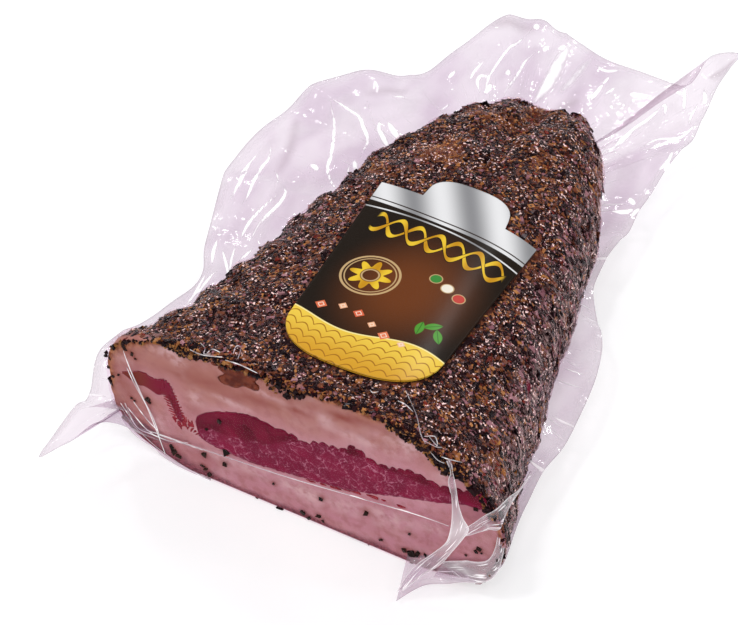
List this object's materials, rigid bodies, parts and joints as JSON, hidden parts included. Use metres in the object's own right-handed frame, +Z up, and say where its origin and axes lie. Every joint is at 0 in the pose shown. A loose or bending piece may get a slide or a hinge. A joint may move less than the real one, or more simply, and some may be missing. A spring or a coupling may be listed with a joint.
{
  "type": "peppered guanciale",
  "caption": "Cured pork jowl with a cracked-pepper crust, cut across its wide end, sealed in clear vacuum film with loose edges and a paper label; lies flat on its rind.",
  "frame": {"origin": "under the middle of the whole piece's bounding box, on the surface that it lies on", "axes": "+Z up, +Y from the cut face towards the narrow round end, +X to the right when looking at the cut face"},
  "size_m": [0.174, 0.293, 0.069],
  "materials": {
    "crust": "cracked black pepper pressed into cured pork fat, moist and glistening under tight film",
    "lean": "moist dark red lean meat with fine pink marbling",
    "film": "clear glossy vacuum film with creases and a faint lilac tint",
    "label": "dark brown coated paper print with silver and gold fields, satin"
  },
  "bodies": {
    "root": {"cured_jowl": "crust", "lean_muscle": "lean", "lean_streak": "lean", "vacuum_film": "film", "label": "label"}
  },
  "joints": []
}
